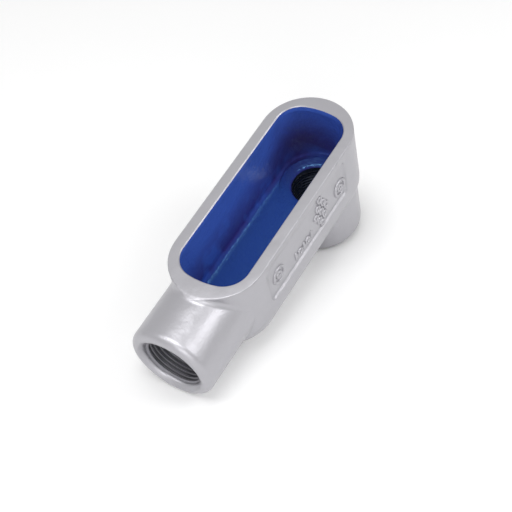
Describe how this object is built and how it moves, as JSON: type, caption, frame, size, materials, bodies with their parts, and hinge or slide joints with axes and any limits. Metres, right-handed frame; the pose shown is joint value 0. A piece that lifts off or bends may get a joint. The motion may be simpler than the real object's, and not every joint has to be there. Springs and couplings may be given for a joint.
{
  "type": "conduit body",
  "caption": "Cast conduit body with a threaded hub on one end, a threaded hub in the back and a long oval cover opening.",
  "frame": {"origin": "on the back hub's axis, where its threaded wall starts, 2.4 mm inside the hub's mouth", "axes": "+Z out of the cover opening along the back hub's axis, +X along the body away from the end hub, Y across"},
  "size_m": [0.1392, 0.042, 0.0616],
  "materials": {
    "silver_paint": "satin",
    "blue_enamel": "gloss",
    "bare_thread": "satin"
  },
  "bodies": {
    "root": {"conduit_body": "silver_paint"}
  },
  "joints": []
}
